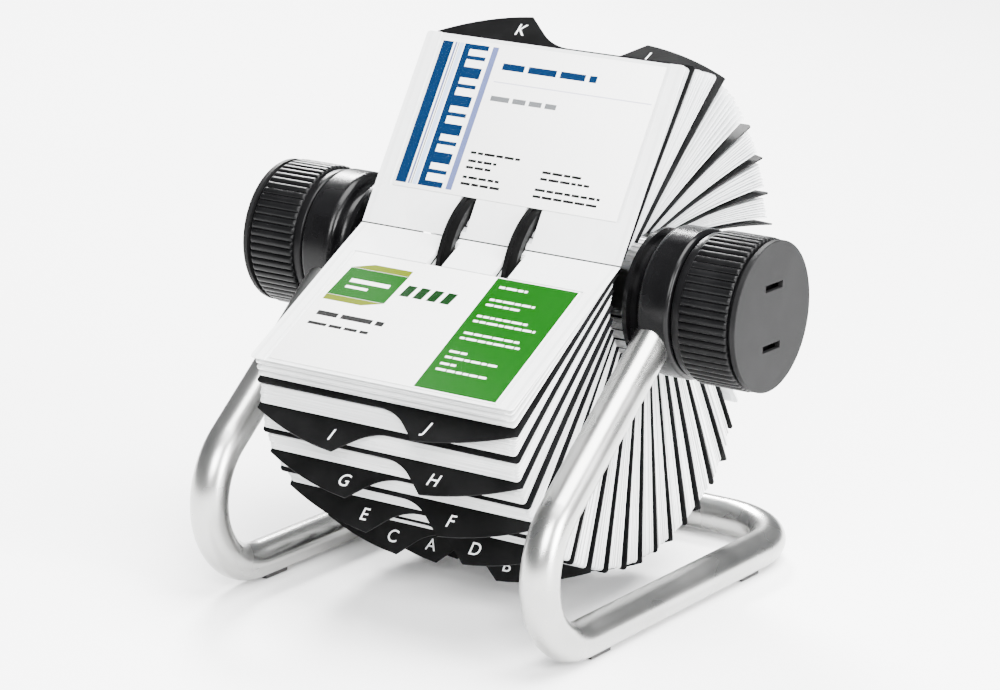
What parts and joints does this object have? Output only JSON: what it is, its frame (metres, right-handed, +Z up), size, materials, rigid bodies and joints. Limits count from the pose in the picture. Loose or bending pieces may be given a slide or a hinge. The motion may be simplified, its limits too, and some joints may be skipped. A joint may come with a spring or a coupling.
{
  "type": "rotary card file",
  "caption": "Desk rotary card file: bent tube stand, two ribbed side knobs and a turning hub whose rings carry clear card sleeves and lettered index tabs.",
  "frame": {"origin": "on the desk, at the middle of the stand's width and depth", "axes": "+X along the axle to the right-hand knob, +Y to the rear bar, +Z up"},
  "size_m": [0.198, 0.1858, 0.1914],
  "materials": {
    "tube": "satin silver grey paint",
    "black_plastic": "semi-gloss moulded black",
    "cap_grey": "satin dark grey",
    "steel": "bright turned steel",
    "bush_plastic": "natural acetal",
    "foot_rubber": "matt",
    "sleeve_film": "milky clear film",
    "divider_plastic": "matt charcoal sheet",
    "card_board": "smooth white card"
  },
  "bodies": {
    "stand": {"tube_frame": "tube", "foot_pads": "foot_rubber", "left_housing": "black_plastic", "right_housing": "black_plastic", "left_bush": "bush_plastic", "right_bush": "bush_plastic"},
    "hub": {"axle": "steel", "axle_tubes": "black_plastic", "divider_a": "divider_plastic", "divider_b": "divider_plastic", "divider_c": "divider_plastic", "divider_d": "divider_plastic", "divider_e": "divider_plastic", "divider_f": "divider_plastic", "divider_g": "divider_plastic", "divider_h": "divider_plastic", "divider_i": "divider_plastic", "divider_j": "divider_plastic", "divider_l": "divider_plastic", "divider_m": "divider_plastic", "divider_n": "divider_plastic", "divider_o": "divider_plastic", "divider_p": "divider_plastic", "divider_q": "divider_plastic", "divider_r": "divider_plastic", "divider_s": "divider_plastic", "divider_sch": "divider_plastic", "divider_t": "divider_plastic", "divider_u": "divider_plastic", "divider_v": "divider_plastic", "divider_w": "divider_plastic", "divider_xyz": "divider_plastic", "friction_washers": "steel", "hub_spacer": "black_plastic", "knob_screws": "steel", "left_knob": "black_plastic", "left_knob_cap": "cap_grey", "left_ring_wheel": "black_plastic", "lower_open_sleeve": "sleeve_film", "right_knob": "black_plastic", "right_knob_cap": "cap_grey", "right_ring_wheel": "black_plastic", "sleeves_a_to_c": "sleeve_film", "sleeves_d_to_f": "sleeve_film", "sleeves_g_to_i": "sleeve_film", "sleeves_j": "sleeve_film", "sleeves_k_to_m": "sleeve_film", "sleeves_n_to_p": "sleeve_film", "sleeves_q_to_s": "sleeve_film", "sleeves_sch_to_u": "sleeve_film", "sleeves_v_to_xyz": "sleeve_film"},
    "upper_leaf": {"upper_open_sleeve": "sleeve_film"},
    "fanned_leaf_1": {"fanned_sleeve_1": "sleeve_film"},
    "fanned_leaf_2": {"fanned_sleeve_2": "sleeve_film"},
    "fanned_leaf_3": {"fanned_sleeve_3": "sleeve_film"},
    "index_leaf": {"divider_k": "divider_plastic"},
    "upper_card": {"upper_card": "card_board"},
    "lower_card": {"lower_card": "card_board"}
  },
  "joints": [
    {"name": "hub_turn", "type": "hinge", "parent": "stand", "child": "hub", "pos_m": [0, -0.001, 0.1093], "axis": [1, 0, 0], "continuous": true},
    {"name": "leaf_turn", "type": "hinge", "parent": "hub", "child": "upper_leaf", "pos_m": [0, -0.02026, 0.12259], "axis": [1, 0, 0], "range_deg": [0, 147]},
    {"name": "fanned_leaf_1_turn", "type": "hinge", "parent": "hub", "child": "fanned_leaf_1", "pos_m": [0, -0.01963, 0.12306], "axis": [1, 0, 0], "range_deg": [0, 118.1]},
    {"name": "fanned_leaf_2_turn", "type": "hinge", "parent": "hub", "child": "fanned_leaf_2", "pos_m": [0, -0.01899, 0.12351], "axis": [1, 0, 0], "range_deg": [0, 88.7]},
    {"name": "fanned_leaf_3_turn", "type": "hinge", "parent": "hub", "child": "fanned_leaf_3", "pos_m": [0, -0.01834, 0.12393], "axis": [1, 0, 0], "range_deg": [0, 59.3]},
    {"name": "index_leaf_turn", "type": "hinge", "parent": "hub", "child": "index_leaf", "pos_m": [0, -0.01768, 0.12432], "axis": [1, 0, 0], "range_deg": [0, 29.9]},
    {"name": "upper_card_slide", "type": "slide", "parent": "upper_leaf", "child": "upper_card", "axis": [0, 0.5195, 0.8545], "range_m": [0, 0.042]},
    {"name": "lower_card_slide", "type": "slide", "parent": "hub", "child": "lower_card", "axis": [0, -0.8746, -0.4848], "range_m": [0, 0.042]}
  ],
  "couplings": [
    {"joint": "fanned_leaf_1_turn", "follows": "leaf_turn", "ratio": 0.8},
    {"joint": "fanned_leaf_2_turn", "follows": "leaf_turn", "ratio": 0.6},
    {"joint": "fanned_leaf_3_turn", "follows": "leaf_turn", "ratio": 0.4},
    {"joint": "index_leaf_turn", "follows": "leaf_turn", "ratio": 0.2}
  ]
}
